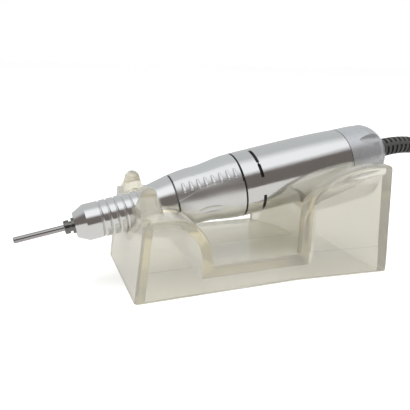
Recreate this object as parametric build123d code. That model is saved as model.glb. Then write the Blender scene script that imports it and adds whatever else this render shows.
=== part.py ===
"""Electric nail drill handpiece lying in its moulded desk cradle, with its cord and plug.

Millimetres, +Z up, the drill end at -X.  The cradle is drawn about the centre of its own base,
and the whole is set so that the origin lies on the table under the middle of the cradle and
handpiece together.  The handpiece's own pieces are turned about a local X axis: station 0 is
the front face of the nose cone, and stations grow towards the cord.
"""
from build123d import *
from math import cos, sin, tan, pi, radians, degrees
import os

os.makedirs("parts", exist_ok=True)

# ---------------------------------------------------------------- driving sizes: the handpiece
REST_TILT = 9.7             # the handpiece lies nose down in its cradle, degrees
NOSE_FACE = (-70.8, 0, 23.5)  # where the nose cone's front face is centred

SHANK_D = 2.35              # 3/32 inch rotary tool shank
SHANK_LENGTH = 44.5
SHANK_SHOWS = 22.3          # how far the shank stands out of the nose cone
NOSE_LENGTH = 38.4
NOSE_FRONT_D = 9.6
NOSE_NECK_D = 14.1
NOSE_SHOULDER_AT = 4.3
FIRST_GROOVE_AT = 9.7       # the front edge of the first finger groove
GROOVE_PITCH = 3.0
GROOVE_COUNT = 6
GROOVE_WIDTH = 0.9
GROOVE_DEPTH = 0.45
LAND_ROUND = 0.3            # rounding of the lands between the grooves
NOSE_REAR_D = 20.8
SEAL_WIDTH = 0.55
SEAL_PLAY = 0.15            # end play of the twist grip at each seal
GRIP_LENGTH = 26.3
GRIP_FRONT_D = 21.0
GRIP_WAIST_D = 23.0
PANEL_MIDDLE = 42.0         # where the near thumb panel faces, degrees up from the near side
PANEL_TOP = 57.0            # where a panel's flat runs out into the grip's own form
PANEL_SHIFT = 1.15          # how far the flat's form is moved round, which sets its depth
RIB_COUNT = 8
RIB_PITCH = 3.0
FIRST_RIB_AT = 3.0          # from the grip's front end
RIB_D = 1.5
RIB_LENGTH = 3.0
DIMPLE_ANGLE = -17.0        # where the near dimple lies, degrees up from the near side
DIMPLE_DEPTH = 0.5
CASE_LENGTH = 49.1
CASE_D = 27.0
CASE_SWELL = 0.2            # how far the case's middle stands out beyond its mouth
CASE_WALL = 1.2
CAP_LENGTH = 20.9
CAP_STEP = 0.2              # how far the cap's front lies inside the case's mouth
CAP_DRAFT = 0.15            # its taper towards the dome
CAP_WALL = 1.6
FLUTE_COUNT = 6
FLUTE_D = 6.0
FLUTE_TILT = 11.0
FLUTE_TURN = 47.0
CAP_LIP = 2.0               # thickness of the rim that holds the strain relief
RELIEF_D = 8.8
RELIEF_GRIP = 0.8           # how far the relief's flange and groove step out and in, radial
RELIEF_FLANGE = 1.4
RELIEF_END_D = 6.4
RELIEF_LENGTH = 42.0
RELIEF_STRAIGHT = 4.0       # the part of the strain relief that stays in line with the handpiece
RELIEF_BEND = 38.0          # how far the rest of it droops, degrees
RELIEF_PITCH = 2.4          # from slot to slot
RELIEF_SLOT = 1.1
RELIEF_SPINE = 1.5          # width of the four spines that join the relief's rings
CORD_D = 5.0

# ---------------------------------------------------------------- driving sizes: chuck and spindle
SHANK_PLAY = 0.03           # radial, shank in collet
SLIDE_PLAY = 0.05           # radial, parts that slide in one another
AIR = 0.3                   # between parts that never touch
COLLET_HEAD_D = 5.2
COLLET_HEAD_L = 2.0
COLLET_WAIST_D = 3.9
COLLET_BODY_D = 3.6
COLLET_REAR = 21.0
COLLET_SLIT = 0.4
COLLET_SLIT_L = 15.0
SPINDLE_FLANGE_D = 6.0
SPINDLE_FLANGE_L = 1.0
SPINDLE_D = 5.0
SPRING_HOUSING_D = 7.4      # the wider middle of the spindle, round the disc springs
SPRING_HOUSING_WALL = 1.0   # its end walls
SPRING_D = 5.0
SPRING_COUNT = 9
SPRING_THICK = 0.25
SPRING_CONE = 0.35
DRAWBAR_D = 2.4
DRAWBAR_COLLAR_L = 1.2
DRAWBAR_HEAD_D = 6.0
DRAWBAR_HEAD_L = 1.4
DRAWBAR_SOCKET_L = 1.2      # solid length behind the shank's socket
CHUCK_STROKE = 1.2          # travel that opens the collet
GRIP_TURN = 60.0            # turn of the twist grip that opens the collet, degrees
BARREL_BORE = 10.0
BARREL_D = 13.2
BARREL_FRONT = 30.5
BARREL_FLANGE_L = 3.8
RELEASE_D = 9.8
RELEASE_LENGTH = 7.0
RELEASE_BORE = 3.4
CAM_D = 16.8
CAM_PIN_D = 2.0
CAM_LENGTH = 13.0
DOG_D = 7.6
DOG_DISC_L = 3.2
LUG_LENGTH = 3.0            # longer than the stroke, so the drive stays engaged while open
SMALL_BEARING = (5.0, 10.0, 4.0)     # bore, outside, width of the three spindle bearings
SMALL_BEARING_AT = (5.0, 10.0)       # the front pair; the third runs in the inner barrel
BEARING_NUT_L = 2.4
PLATE_SCREW_D = 2.0
PLATE_SCREW_R = 8.2         # how far the plate's screws stand from the axis
PLATE_SCREW_BITE = 3.0
PLATE_SCREW_HEAD = (3.6, 1.1)
MOTOR_BEARING = (3.0, 8.0, 4.0)      # bore, outside, width of the two motor bearings
BALLS_PER_BEARING = 7

# ---------------------------------------------------------------- driving sizes: motor
SHAFT_D = 3.0
LINER_WALL = 0.45
LINER_LENGTH = 7.2          # the sleeve that spaces the yoke from the barrel's flange
YOKE_LENGTH = 30.6
YOKE_WALL = 1.3
MAGNET_THICK = 2.6
MAGNET_SPREAD = 128.0
ARMATURE_SETBACK = 4.0      # from the yoke's front end to the armature core
ARMATURE_LENGTH = 22.0
POLE_COUNT = 7
POLE_GAP = 1.5
COMMUTATOR_D = 7.0
COMMUTATOR_LENGTH = 4.0
BELL_LENGTH = 9.6
BELL_WALL = 1.8
BRUSH_WIDTH = 2.4
BRUSH_TUBE_WALL = 0.4
SLOT_BEHIND_MOUTH = 7.4     # from the case's mouth to the middle of its vent slots
VENTS = ((66.0, 36.0, 1.3), (46.5, 8.0, 0.6), (32.5, 24.0, 1.3), (-31.0, 40.0, 1.3))
#   for each vent slot: its middle and spread in degrees up from the near side, and its width
SPACER_BORE = 8.0

# ---------------------------------------------------------------- driving sizes: cradle
CRADLE_LENGTH = 108.0
FRONT_HALF_WIDTH = 25.2
WAIST_HALF_WIDTH = 24.5
REAR_HALF_WIDTH = 28.0
FRONT_LEAN = 0.132          # how much the front face leans back for each millimetre up
REAR_LEAN = 0.07
SHOULDER_HEIGHT = 31.0
SHOULDER_RADII = (16.3, 19.5)
SHOULDER_AT = -40.0
TRAY_HEIGHT = 10.8
TRAY_DIP = 1.4
TRAY_THICK = 5.0
TRAY_RIM = 3.0
REAR_BLOCK_AT = 13.6
REAR_BLOCK_HEIGHT = 45.5
REAR_BLOCK_RADII = (34.0, 21.5)
CRADLE_WALL = 4.0           # tops, front, rear and saddle
SIDE_WALL = 2.6
SKIRT_WALL = 2.0            # the lower band of the side walls is thinner
SKIRT_HEIGHT = 11.0
CORNER_RADIUS = 1.6
BAY_RADIUS = 26.0           # the hollowed front of the rear block, seen from above
BAY_CENTRE = -1.5
SADDLE_HALF_WIDTH = 20.5
REST_CLEARANCE = 0.4
EDGE_ROUND = 1.2            # rounding of the upper side edges
REAR_ROUND = 1.8            # rounding of the rear top edge
HORN_HEIGHT = 40.0
HORN_AT = (-45.6, 13.7)     # the axis of a horn's tip
HORN_TIP = (3.1, 3.5)       # half widths where the rounded tip begins
HORN_FOOT = (5.9, 11.4)     # half widths at the foot
HORN_FOOT_AT = (28.5, 14.6)  # height and half spacing of the feet
HORN_ROUND = 2.9            # height of the rounded tip

# ---------------------------------------------------------------- stations that follow from these
shank_rear = SHANK_LENGTH - SHANK_SHOWS
socket_rear = shank_rear + DRAWBAR_SOCKET_L
nut_rear = SMALL_BEARING_AT[-1] + SMALL_BEARING[2] + BEARING_NUT_L
housing_front = nut_rear + 1.0
spring_front = socket_rear + 0.1
spring_rear = spring_front + SPRING_COUNT * (SPRING_THICK + SPRING_CONE)
collar_front = spring_rear + CHUCK_STROKE + 0.1
collar_rear = collar_front + DRAWBAR_COLLAR_L
housing_rear = collar_rear + 0.2 + SPRING_HOUSING_WALL
rear_bearing_at = housing_rear + 1.4
spindle_rear = rear_bearing_at + SMALL_BEARING[2] + 0.6
head_front = spindle_rear + CHUCK_STROKE + 0.1
head_rear = head_front + DRAWBAR_HEAD_L
seal_1 = NOSE_LENGTH
grip_front = seal_1 + SEAL_WIDTH + SEAL_PLAY
grip_rear = grip_front + GRIP_LENGTH
seal_2 = grip_rear + SEAL_PLAY
case_front = seal_2 + SEAL_WIDTH
case_rear = case_front + CASE_LENGTH
cap_front = case_rear + AIR
cap_rear = cap_front + CAP_LENGTH
case_mouth_d = CASE_D - 2 * CASE_SWELL
case_bore_d = case_mouth_d - 2 * CASE_WALL
grip_rear_d = case_mouth_d - 0.2
cap_front_d = case_mouth_d - 2 * CAP_STEP
cap_shoulder_d = cap_front_d - 2 * CAP_DRAFT
vent_at = case_front + SLOT_BEHIND_MOUTH
relief_flange_d = RELIEF_D + 2 * RELIEF_GRIP
relief_groove_d = RELIEF_D - 2 * RELIEF_GRIP
flange_front = case_front + AIR
flange_rear = flange_front + BARREL_FLANGE_L
yoke_front = flange_rear + LINER_LENGTH


# ---------------------------------------------------------------- helpers
def turned(*points):
    """A solid of revolution about X from a closed outline of (station, radius) points."""
    outline = make_face(Polyline(*[(s, 0, r) for s, r in points], close=True))
    return revolve(outline, Axis.X, 360)


def tube(front, rear, outside_d, bore_d=0.0):
    """A plain cylinder or sleeve between two stations."""
    return turned((front, bore_d / 2), (rear, bore_d / 2), (rear, outside_d / 2), (front, outside_d / 2))


def around(piece, count, first=0.0):
    """Copies of a piece at equal angles about X."""
    return [Rot(first + 360 * n / count, 0, 0) * piece for n in range(count)]


def slab(x0, x1, y0, y1, z0, z1):
    """A box between corners."""
    return Pos((x0 + x1) / 2, (y0 + y1) / 2, (z0 + z1) / 2) * Box(x1 - x0, y1 - y0, z1 - z0)


def group(pieces):
    """Separate solids kept apart in one sub-part."""
    return Compound([solid for piece in pieces for solid in piece.solids()])


handpiece_place = Location(NOSE_FACE, (0, -REST_TILT, 0))


def relief_end():
    """The centre and direction of the strain relief's free end, as the handpiece lies."""
    bend_r = (RELIEF_LENGTH - RELIEF_STRAIGHT) / radians(RELIEF_BEND)
    local = Location((cap_rear + RELIEF_STRAIGHT + bend_r * sin(radians(RELIEF_BEND)), 0,
                      -bend_r * (1 - cos(radians(RELIEF_BEND)))), (0, RELIEF_BEND, 0))
    end = Plane(handpiece_place * local)
    return end.origin, end.x_dir


def middle_x():
    """The middle of the cradle and handpiece along X: half way from shank tip to strain relief end."""
    tip = Plane(handpiece_place * Location((-SHANK_SHOWS, 0, 0)))
    rear, heading = relief_end()
    first = tip.origin.X - SHANK_D / 2 * abs(tip.x_dir.Z)
    last = rear.X + RELIEF_END_D / 2 * abs(heading.Z)
    return (first + last) / 2


row_place = Pos(-middle_x(), 0, 0)


def write(name, piece, lying=True):
    """Export a sub-part; handpiece pieces are first laid at the rest tilt."""
    placed = handpiece_place * piece if lying else piece
    export_step(row_place * placed, "parts/" + name + ".step")


# ---------------------------------------------------------------- bearings
def bearing(front, bore_d, outside_d, width):
    """A deep-groove ball bearing: outer ring, inner ring and its balls."""
    pitch_r = (bore_d + outside_d) / 4
    step = (outside_d - bore_d) / 2
    ball_r = step * 0.29
    groove = Pos(front + width / 2, 0, 0) * Rot(0, 90, 0) * Torus(pitch_r, ball_r + SHANK_PLAY)
    outer = tube(front, front + width, outside_d, 2 * pitch_r + 0.4 * step) - groove
    inner = tube(front, front + width, 2 * pitch_r - 0.4 * step, bore_d) - groove
    ball = Pos(front + width / 2, 0, pitch_r) * Sphere(ball_r)
    return outer, inner, around(ball, BALLS_PER_BEARING)


def bearing_set(stations, sizes):
    """The outer rings, the inner rings and the balls of equal bearings."""
    made = [bearing(front, *sizes) for front in stations]
    return ([m[0] for m in made], [m[1] for m in made], [ball for m in made for ball in m[2]])


# ---------------------------------------------------------------- nose, grip, case and cap
def nose_radius(station):
    """Outside radius of the nose cone behind its chamfer, without its grooves."""
    groove_end = FIRST_GROOVE_AT + GROOVE_COUNT * GROOVE_PITCH
    return NOSE_NECK_D / 2 + 0.35 * max(0.0, (station - FIRST_GROOVE_AT) / (groove_end - FIRST_GROOVE_AT))


flare_start = FIRST_GROOVE_AT + GROOVE_COUNT * GROOVE_PITCH - LAND_ROUND


def nose_outline():
    """Upper edge of the nose cone: chamfered tip, lands between finger grooves and a flared skirt."""
    edge = Polyline((0, 0, NOSE_FRONT_D / 2), (NOSE_SHOULDER_AT, 0, NOSE_NECK_D / 2),
                    (FIRST_GROOVE_AT - LAND_ROUND, 0, NOSE_NECK_D / 2))
    for n in range(GROOVE_COUNT):
        start = FIRST_GROOVE_AT + n * GROOVE_PITCH
        end, land_end = start + GROOVE_WIDTH, start + GROOVE_PITCH
        top = nose_radius(start)
        floor = top - GROOVE_DEPTH
        edge += Spline((start - LAND_ROUND, 0, top), ((start + end) / 2, 0, floor),
                       (end + LAND_ROUND, 0, nose_radius(end)), tangents=((1, 0, 0), (1, 0, 0)))
        edge += Line((end + LAND_ROUND, 0, nose_radius(end)),
                     (land_end - LAND_ROUND, 0, nose_radius(land_end)))
    flare_end = flare_start + 3.2
    edge += Spline(edge @ 1, (flare_end, 0, NOSE_REAR_D / 2 - 1.75),
                   tangents=((0.75, 0, 0.66), (0.97, 0, 0.24)))
    edge += Line((flare_end, 0, NOSE_REAR_D / 2 - 1.75), (NOSE_LENGTH, 0, NOSE_REAR_D / 2))
    return edge


def make_nose():
    """The nose cone, bored for the spindle, its front bearings and the barrel's front end."""
    edge = nose_outline()
    base = Polyline((0, 0, NOSE_FRONT_D / 2), (0, 0, 0), (NOSE_LENGTH, 0, 0),
                    (NOSE_LENGTH, 0, NOSE_REAR_D / 2))
    body = revolve(make_face(edge + base), Axis.X, 360)
    body -= tube(-1, SMALL_BEARING_AT[0] + 1, SPINDLE_FLANGE_D + 2 * AIR)
    body -= tube(SMALL_BEARING_AT[0], BARREL_FRONT + 1, SMALL_BEARING[1])
    body -= tube(BARREL_FRONT, NOSE_LENGTH + 1, BARREL_D)
    return body


def grip_radius(station):
    """Outside radius of the twist grip: a waisted front that swells to the motor case."""
    t = (station - grip_front) / GRIP_LENGTH
    front_r, waist_r, rear_r = GRIP_FRONT_D / 2, GRIP_WAIST_D / 2, grip_rear_d / 2
    if t < 0.38:
        return front_r + (waist_r - front_r) * sin(pi / 2 * t / 0.38)
    return waist_r + (rear_r - waist_r) * (1 - cos(pi * min(1, (t - 0.38) / 0.6))) / 2


def grip_body():
    """The twist grip as a full solid of revolution."""
    count = 12
    stations = [grip_front + GRIP_LENGTH * n / count for n in range(count + 1)]
    top = Spline(*[(s, 0, grip_radius(s)) for s in stations])
    base = Polyline(top @ 0, (grip_front, 0, 0), (grip_rear, 0, 0), top @ 1)
    return revolve(make_face(top + base), Axis.X, 360)


def facing(angle):
    """Turns what stands on top (+Z) round X to face an angle, in degrees up from the near side."""
    return Rot(90 - angle, 0, 0)


def thumb_panel(body):
    """One thumb panel's cut: a flat that deepens down to a swept lower edge."""
    top = radians(PANEL_TOP)
    skin = body - Pos(0, PANEL_SHIFT * sin(top), PANEL_SHIFT * cos(top)) * body
    low = Spline((grip_front, -4.9), (grip_front + 0.18 * GRIP_LENGTH, -4.0),
                 (grip_front + 0.34 * GRIP_LENGTH, -2.8),
                 (grip_front + 0.50 * GRIP_LENGTH, -2.2), (grip_front + 0.78 * GRIP_LENGTH, -3.3),
                 (grip_rear, -4.6))
    outline = low + Polyline(low @ 1, (grip_rear, 6.0), (grip_front, 6.0), low @ 0)
    return skin & (facing(PANEL_MIDDLE) * extrude(make_face(outline), amount=20))


def thumb_rib(station):
    """One rib of a thumb panel: a rounded bead laid round the grip, deeper at its upper end."""
    bead = Rot(90, 0, 0) * Cylinder(RIB_D / 2, RIB_LENGTH)
    bead += Pos(0, -RIB_LENGTH / 2, 0) * Sphere(RIB_D / 2) + Pos(0, RIB_LENGTH / 2, 0) * Sphere(RIB_D / 2)
    lying = Pos(station, -0.4, grip_radius(station) - 0.42 * RIB_D) * Rot(-5, 0, 0)
    return facing(PANEL_MIDDLE) * (lying * bead)


def make_grip():
    """The twist grip: bored for the cam sleeve, with three ribbed thumb panels and three dimples."""
    whole = grip_body()
    panel = thumb_panel(whole)
    ribs = [thumb_rib(grip_front + FIRST_RIB_AT + n * RIB_PITCH) for n in range(RIB_COUNT)]
    dimple_at = grip_front + 0.41 * GRIP_LENGTH
    dimple = scale(Sphere(1), by=(7.6, 2.9, 3.0))
    dimple = facing(DIMPLE_ANGLE) * (Pos(dimple_at, 0, grip_radius(dimple_at) + 3.0 - DIMPLE_DEPTH) * dimple)
    body = whole
    for n in range(3):
        body -= Rot(120 * n, 0, 0) * panel
        body -= Rot(120 * n, 0, 0) * dimple
    for n in range(3):
        for rib in ribs:
            body += Rot(120 * n, 0, 0) * rib
    body -= tube(grip_front - 1, grip_rear + 1, BARREL_D + 2 * AIR)
    body -= tube(cam_front, grip_rear + 1, CAM_D)
    body -= turned((cam_rear, 0), (grip_rear + 1, 0), (grip_rear + 1, grip_rear_d / 2 - 1.6),
                   (grip_rear - 3, grip_rear_d / 2 - 1.8), (cam_rear, CAM_D / 2))
    return body


def make_case():
    """The motor case: slightly barrelled tube with vent slots behind its mouth."""
    mouth_r, mid_r = case_mouth_d / 2, CASE_D / 2
    top = Spline((case_front, 0, mouth_r), (case_front + 0.3 * CASE_LENGTH, 0, mid_r),
                 (case_front + 0.75 * CASE_LENGTH, 0, mid_r), (case_rear, 0, cap_front_d / 2))
    base = Polyline(top @ 0, (case_front, 0, case_bore_d / 2), (case_rear, 0, case_bore_d / 2), top @ 1)
    body = revolve(make_face(top + base), Axis.X, 360)
    for side in (0, 180):
        for middle, spread, width in VENTS:
            ring = tube(vent_at - width / 2, vent_at + width / 2, CASE_D + 4, case_bore_d - 1)
            body -= ring & wedge(vent_at, middle + side, spread)
    return body


def wedge(station, middle, spread):
    """A sector of a disc about X; angles are measured up from the near side (-Y)."""
    reach = CASE_D
    half = radians(spread / 2)
    tips = [(0, 0), (reach * sin(half), reach * cos(half)), (-reach * sin(half), reach * cos(half))]
    sector = Plane.YZ * make_face(Polyline(*tips, close=True))
    sector = Pos(station - 5, 0, 0) * extrude(sector, amount=10)
    return facing(middle) * sector


def make_cap():
    """The end cap: a plastic dome with tapering flutes, open in the middle for the strain relief."""
    front_r, shoulder_r = cap_front_d / 2, cap_shoulder_d / 2
    shoulder = cap_front + 0.55 * CAP_LENGTH
    dome = Spline((shoulder, 0, shoulder_r), (cap_front + 0.67 * CAP_LENGTH, 0, 0.955 * shoulder_r),
                  (cap_front + 0.79 * CAP_LENGTH, 0, 0.85 * shoulder_r),
                  (cap_front + 0.91 * CAP_LENGTH, 0, 0.67 * shoulder_r), (cap_rear, 0, 0.47 * shoulder_r),
                  tangents=((1, 0, -0.05), (0.45, 0, -1)))
    edge = Polyline((cap_front, 0, front_r), (shoulder, 0, shoulder_r)) + dome
    base = Polyline(dome @ 1, (cap_rear, 0, 0), (cap_front, 0, 0), (cap_front, 0, front_r))
    body = revolve(make_face(edge + base), Axis.X, 360)
    hollow_r = case_bore_d / 2
    back = cap_front + 0.5 * CAP_LENGTH
    body -= turned((cap_front - 1, 0), (cap_front - 1, hollow_r), (cap_front + 3, hollow_r),
                   (cap_front + 3, shoulder_r - CAP_WALL), (back, shoulder_r - CAP_WALL - 0.4),
                   (cap_rear - CAP_LIP - RELIEF_FLANGE, relief_flange_d / 2 + 0.1),
                   (cap_rear - CAP_LIP, relief_flange_d / 2 + 0.1), (cap_rear - CAP_LIP, 0))
    body -= tube(cap_rear - CAP_LIP - 1, cap_rear + 1, relief_groove_d)
    flute_at = cap_front + 0.28 * CAP_LENGTH
    flute = Rot(0, 90 + FLUTE_TILT, 0) * (Pos(FLUTE_D / -2, 0, 10) * Cylinder(FLUTE_D / 2, 20))
    flute = Pos(flute_at, 0, shoulder_r) * flute
    for piece in around(flute, FLUTE_COUNT, FLUTE_TURN):
        body -= piece
    return body


# ---------------------------------------------------------------- chuck
cam_front = grip_front + 1.0
cam_rear = cam_front + CAM_LENGTH
release_front = head_rear + 0.1
cam_pin_at = release_front + 4.4


def make_collet():
    """The split collet: a slotted head in front of the nose and a drawn rear end."""
    head = -SPINDLE_FLANGE_L - 0.9 - COLLET_HEAD_L
    neck = head + COLLET_HEAD_L
    body = turned((head, 0), (head, COLLET_HEAD_D / 2 - 0.3), (head + 0.3, COLLET_HEAD_D / 2),
                  (neck, COLLET_HEAD_D / 2), (neck, COLLET_WAIST_D / 2),
                  (-SPINDLE_FLANGE_L - 0.1, COLLET_WAIST_D / 2),
                  (-SPINDLE_FLANGE_L - 0.1, COLLET_BODY_D / 2), (COLLET_REAR, COLLET_BODY_D / 2),
                  (COLLET_REAR, 0))
    body -= tube(head - 1, COLLET_REAR + 1, SHANK_D + 2 * SHANK_PLAY)
    slit = slab(head - 1, head + COLLET_SLIT_L, -COLLET_SLIT / 2, COLLET_SLIT / 2, 0, COLLET_HEAD_D)
    for cut in around(slit, 3, 60):
        body -= cut
    return body


def make_spindle():
    """The hollow spindle: front flange, bearing seats and the wider spring housing."""
    bore = COLLET_BODY_D + 2 * SLIDE_PLAY
    body = tube(-SPINDLE_FLANGE_L, 0.4, SPINDLE_FLANGE_D) + tube(0.4, spindle_rear, SPINDLE_D)
    body += tube(housing_front, housing_rear, SPRING_HOUSING_D)
    body -= tube(-SPINDLE_FLANGE_L - 1, spring_front + 1, bore)
    body -= tube(spring_front, housing_rear - SPRING_HOUSING_WALL, SPRING_D + 2 * SLIDE_PLAY)
    body -= tube(housing_rear - SPRING_HOUSING_WALL - 1, spindle_rear + 1, DRAWBAR_D + 2 * SLIDE_PLAY)
    return body


def make_drawbar():
    """The rod that carries the collet; its head is pushed forward to open the chuck."""
    body = tube(COLLET_REAR, socket_rear, COLLET_BODY_D)
    body += tube(socket_rear, dog_front, DRAWBAR_D)
    body += tube(collar_front, collar_rear, SPRING_D - 0.2)
    body += tube(head_front, head_rear, DRAWBAR_HEAD_D)
    return body - tube(COLLET_REAR - 1, shank_rear + 0.4, SHANK_D + 2 * SHANK_PLAY)


def make_disc_springs():
    """A stack of conical spring washers, set alternately on the drawbar."""
    inner_r, outer_r = DRAWBAR_D / 2 + 0.1, SPRING_D / 2
    pitch = SPRING_THICK + SPRING_CONE
    washers = []
    for n in range(SPRING_COUNT):
        start = spring_front + n * pitch
        low, high = (inner_r, outer_r) if n % 2 else (outer_r, inner_r)
        washers.append(turned((start, low), (start + SPRING_THICK, low),
                              (start + pitch, high), (start + SPRING_CONE, high)))
    return group(washers)


dog_front = release_front + RELEASE_LENGTH + CHUCK_STROKE + 2 * AIR
dog_face = dog_front + DOG_DISC_L
motor_dog_front = dog_face + LUG_LENGTH + 2 * AIR
motor_dog_rear = motor_dog_front + DOG_DISC_L


def make_dog(disc_front, disc_rear, lug_front, lug_rear, bore_d, turn):
    """Half of the drive coupling: a disc with two quarter lugs on its face."""
    body = tube(disc_front, disc_rear, DOG_D, bore_d)
    ring = tube(lug_front, lug_rear, DOG_D, 3.4)
    for side in (0, 180):
        quarter = make_face(Polyline((0, 0), (DOG_D, 0.66 * DOG_D), (DOG_D, -0.66 * DOG_D), close=True))
        sector = Pos(lug_front - 1, 0, 0) * extrude(Plane.YZ * quarter, amount=lug_rear - lug_front + 2)
        body += ring & (Rot(side + turn, 0, 0) * sector)
    return body


def make_barrel():
    """The fixed inner barrel: rear bearing seat, guide slots for the cam pins and a rear flange."""
    body = tube(BARREL_FRONT, flange_front, BARREL_D, BARREL_BORE)
    body += tube(flange_front, flange_rear, case_bore_d, BARREL_BORE)
    for hole in around(Pos(0, 0, PLATE_SCREW_R) * tube(flange_rear - PLATE_SCREW_BITE, flange_rear + 1,
                                                       PLATE_SCREW_D), 2, 45):
        body -= hole
    for side in (0, 180):
        for step in (0, CHUCK_STROKE):
            slot = Pos(cam_pin_at - step, 0, 0) * Rot(side, 0,
                    0) * (Pos(0, 0, 8) * Cylinder(CAM_PIN_D / 2 + SLIDE_PLAY, 12))
            body -= slot
        body -= Rot(side, 0, 0) * slab(cam_pin_at - CHUCK_STROKE, cam_pin_at,
                                       -CAM_PIN_D / 2 - SLIDE_PLAY, CAM_PIN_D / 2 + SLIDE_PLAY, 2, 14)
    return body


def make_cam_sleeve():
    """The cam sleeve in the twist grip: two helical slots that drive the cam pins forward."""
    body = tube(cam_front, cam_rear, CAM_D, BARREL_D + 2 * AIR)
    steps = 12
    for side in (0, 180):
        for n in range(steps + 1):
            turn = GRIP_TURN * n / steps
            ahead = CHUCK_STROKE * n / steps
            body -= Rot(side - turn, 0, 0) * (Pos(cam_pin_at - ahead, 0,
                                                  8) * Cylinder(CAM_PIN_D / 2 + 0.1, 12))
    return body


def make_release_sleeve():
    """The sleeve that the cam pins push against the drawbar's head."""
    body = tube(release_front, release_front + RELEASE_LENGTH, RELEASE_D, RELEASE_BORE)
    for side in (0, 180):
        body -= Rot(side, 0, 0) * (Pos(cam_pin_at, 0, 8) * Cylinder(CAM_PIN_D / 2, 12))
    return body


def make_cam_pins():
    """Two pins that stand out of the release sleeve into the cam's slots."""
    reach = CAM_D / 2 - 0.2
    pin = Pos(cam_pin_at, 0, (2.0 + reach) / 2) * Cylinder(CAM_PIN_D / 2, reach - 2.0)
    return group(around(pin, 2))


# ---------------------------------------------------------------- motor
plate_rear = flange_rear + MOTOR_BEARING[2]
yoke_rear = yoke_front + YOKE_LENGTH
magnet_d = case_bore_d - 2 * YOKE_WALL
armature_d = magnet_d - 2 * MAGNET_THICK - 2 * AIR
armature_front = yoke_front + ARMATURE_SETBACK
armature_rear = armature_front + ARMATURE_LENGTH
commutator_at = armature_rear + 4.6
bell_front = yoke_rear + 0.4
bell_disc = commutator_at + COMMUTATOR_LENGTH + 0.4
bell_rear = bell_disc + MOTOR_BEARING[2]
brush_at = commutator_at + COMMUTATOR_LENGTH / 2
brush_seat_d = 2 * (case_bore_d / 2 - BELL_WALL)


def make_magnets():
    """Two curved magnets inside the yoke."""
    ring = tube(armature_front - 1, armature_rear + 1, magnet_d, magnet_d - 2 * MAGNET_THICK)
    reach = magnet_d
    half = radians(MAGNET_SPREAD / 2)
    tips = [(0, 0), (reach * cos(half), reach * sin(half)), (reach * cos(half), -reach * sin(half))]
    sector = extrude(Plane.YZ * make_face(Polyline(*tips, close=True)), amount=ARMATURE_LENGTH + 10)
    sector = Pos(armature_front - 5, 0, 0) * sector
    return group([ring & (Rot(side, 0, 0) * sector) for side in (90, 270)])


def pole_slots(front, rear, widen=0.0):
    """The wedge-shaped winding slots between the armature's poles, as one tool."""
    r = armature_d / 2
    slot = Polyline((POLE_GAP / 2 - widen, r + 0.5), (POLE_GAP / 2 - widen, r - 1.2),
                    (r * 0.30 - widen, r - 1.9),
                    (0.45, 3.0), (-0.45, 3.0), (-r * 0.30 + widen, r - 1.9),
                    (-POLE_GAP / 2 + widen, r - 1.2),
                    (-POLE_GAP / 2 + widen, r + 0.5), close=True)
    cut = Pos(front, 0, 0) * extrude(Plane.YZ * make_face(slot), amount=rear - front)
    return around(cut, POLE_COUNT)


def make_armature():
    """The laminated armature core, pressed on the shaft."""
    body = tube(armature_front, armature_rear, armature_d, SHAFT_D)
    for cut in pole_slots(armature_front - 1, armature_rear + 1):
        body -= cut
    return body


def make_windings():
    """Copper windings: the end turns at both ends of the core and the bundles in its slots."""
    r = armature_d / 2
    front, rear = armature_front, armature_rear
    front_turns = turned((front, 2.4), (front - 3.4, 2.4), (front - 3.6, 4.6), (front - 1.6, r - 0.9),
                         (front, r - 0.9))
    rear_turns = turned((rear, 2.4), (rear + 3.8, 2.4), (rear + 3.8, 4.2), (rear + 1.6, r - 0.9),
                        (rear, r - 0.9))
    body = front_turns + rear_turns
    fill = tube(front - 0.5, rear + 0.5, armature_d - 2.6, 6.2)
    for cut in pole_slots(front - 0.5, rear + 0.5, 0.1):
        body += fill & cut
    return body


def make_commutator():
    """The commutator: copper bars round the shaft, parted by narrow slits."""
    rear = commutator_at + COMMUTATOR_LENGTH
    body = tube(commutator_at, rear, COMMUTATOR_D, SHAFT_D)
    slit = slab(commutator_at - 1, rear + 1, -0.15, 0.15, COMMUTATOR_D / 2 - 0.8, COMMUTATOR_D)
    for cut in around(slit, POLE_COUNT):
        body -= cut
    return body


def make_front_plate():
    """The motor's front plate, a disc with a bearing seat and two screw holes."""
    body = tube(flange_rear, plate_rear, case_bore_d - 2 * LINER_WALL, MOTOR_BEARING[1])
    for hole in around(Pos(0, 0, PLATE_SCREW_R) * tube(flange_rear - 1, plate_rear + 1, PLATE_SCREW_D),
                       2, 45):
        body -= hole
    return body


def make_plate_screws():
    """Two screws that hold the motor's front plate to the barrel's flange."""
    head_d, head_l = PLATE_SCREW_HEAD
    screw = tube(flange_rear - PLATE_SCREW_BITE, plate_rear, PLATE_SCREW_D) + tube(plate_rear,
            plate_rear + head_l, head_d)
    return group(around(Pos(0, 0, PLATE_SCREW_R) * screw, 2, 45))


def make_bell():
    """The plastic brush bell: rim in the case and cap, bearing seat and two brush openings."""
    body = tube(bell_front, cap_front + 2, case_bore_d, brush_seat_d)
    body += tube(bell_disc, bell_rear, brush_seat_d + 1, MOTOR_BEARING[1])
    hole = BRUSH_WIDTH + 2 * BRUSH_TUBE_WALL
    body -= slab(brush_at - hole / 2, brush_at + hole / 2, -20, 20, -hole / 2, hole / 2)
    for side in (-1, 1):
        body -= slab(bell_disc - 1, bell_rear + 1, side * 7 - 0.3, side * 7 + 0.3, -1.5, 1.5)
    return body


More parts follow.
